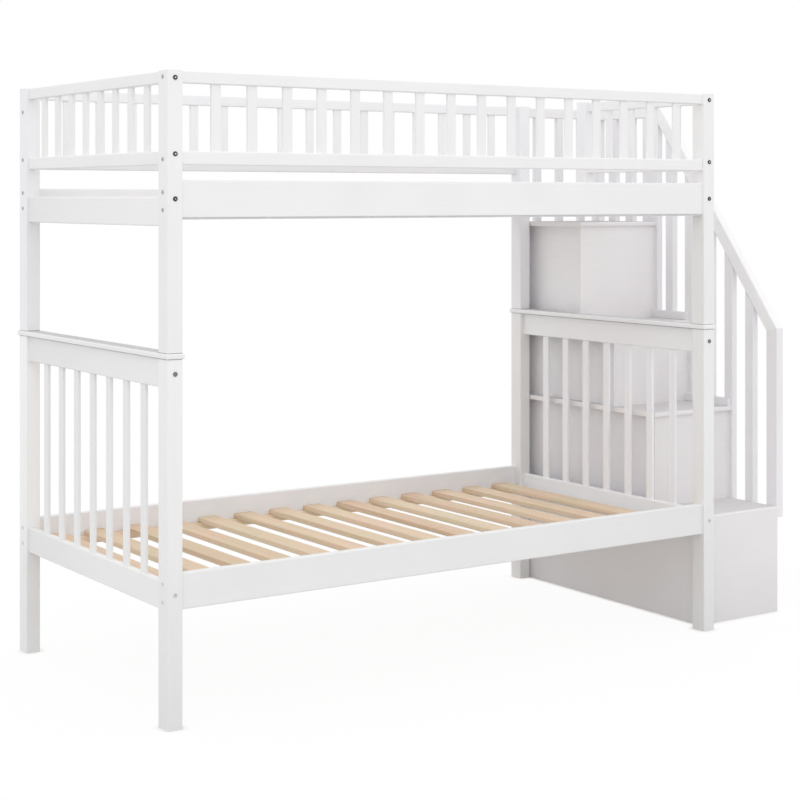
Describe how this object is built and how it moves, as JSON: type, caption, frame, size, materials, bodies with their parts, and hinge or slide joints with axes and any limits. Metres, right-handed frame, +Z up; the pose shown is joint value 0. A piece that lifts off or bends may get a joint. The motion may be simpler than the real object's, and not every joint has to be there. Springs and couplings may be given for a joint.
{
  "type": "bunk bed with staircase",
  "caption": "White timber bunk bed with slatted ends and guard rails, pine bed slats and a railed box staircase with open storage at one end.",
  "frame": {"origin": "middle of the footprint of the whole, on the floor", "axes": "+X along the bed from its left end to the staircase, +Y from the front to the rear, +Z up"},
  "size_m": [2.451, 1.0886, 1.805],
  "materials": {
    "white_paint": "satin white paint on timber",
    "pine": "bare planed pine",
    "black_bolt": "black oxide",
    "grey_bolt": "zinc plated"
  },
  "bodies": {
    "root": {"bolt_plain_heads": "grey_bolt", "bolt_socket_heads": "black_bolt", "entry_post": "white_paint", "guard_front_bottom_rail": "white_paint", "guard_front_slats": "white_paint", "guard_front_top_rail": "white_paint", "guard_left_bottom_rail": "white_paint", "guard_left_slats": "white_paint", "guard_left_top_rail": "white_paint", "guard_rear_bottom_rail": "white_paint", "guard_rear_slats": "white_paint", "guard_rear_top_rail": "white_paint", "guard_right_bottom_rail": "white_paint", "guard_right_slats": "white_paint", "guard_right_top_rail": "white_paint", "lower_bed_slats": "pine", "lower_cleats": "pine", "lower_front_rail": "white_paint", "lower_left_bottom_rail": "white_paint", "lower_left_cap": "white_paint", "lower_left_slats": "white_paint", "lower_left_top_rail": "white_paint", "lower_post_front_left": "white_paint", "lower_post_front_right": "white_paint", "lower_post_rear_left": "white_paint", "lower_post_rear_right": "white_paint", "lower_rear_rail": "white_paint", "lower_right_bottom_rail": "white_paint", "lower_right_cap": "white_paint", "lower_right_slats": "white_paint", "lower_right_top_rail": "white_paint", "stair_bed_side_panels": "white_paint", "stair_corner_post": "white_paint", "stair_dividers": "white_paint", "stair_edge_strips": "white_paint", "stair_handrail": "white_paint", "stair_level_balusters": "white_paint", "stair_level_rail": "white_paint", "stair_newel": "white_paint", "stair_outer_stiles": "white_paint", "stair_rear_balusters": "white_paint", "stair_rear_panels": "white_paint", "stair_rear_rail": "white_paint", "stair_risers": "white_paint", "stair_sloped_balusters": "white_paint", "stair_tread_1": "white_paint", "stair_tread_2": "white_paint", "stair_tread_3": "white_paint", "stair_tread_4": "white_paint", "upper_bed_slats": "pine", "upper_cleats": "pine", "upper_front_rail": "white_paint", "upper_left_end_rail": "white_paint", "upper_post_front_left": "white_paint", "upper_post_front_right": "white_paint", "upper_post_rear_left": "white_paint", "upper_post_rear_right": "white_paint", "upper_rear_rail": "white_paint", "upper_right_end_rail": "white_paint"}
  },
  "joints": []
}
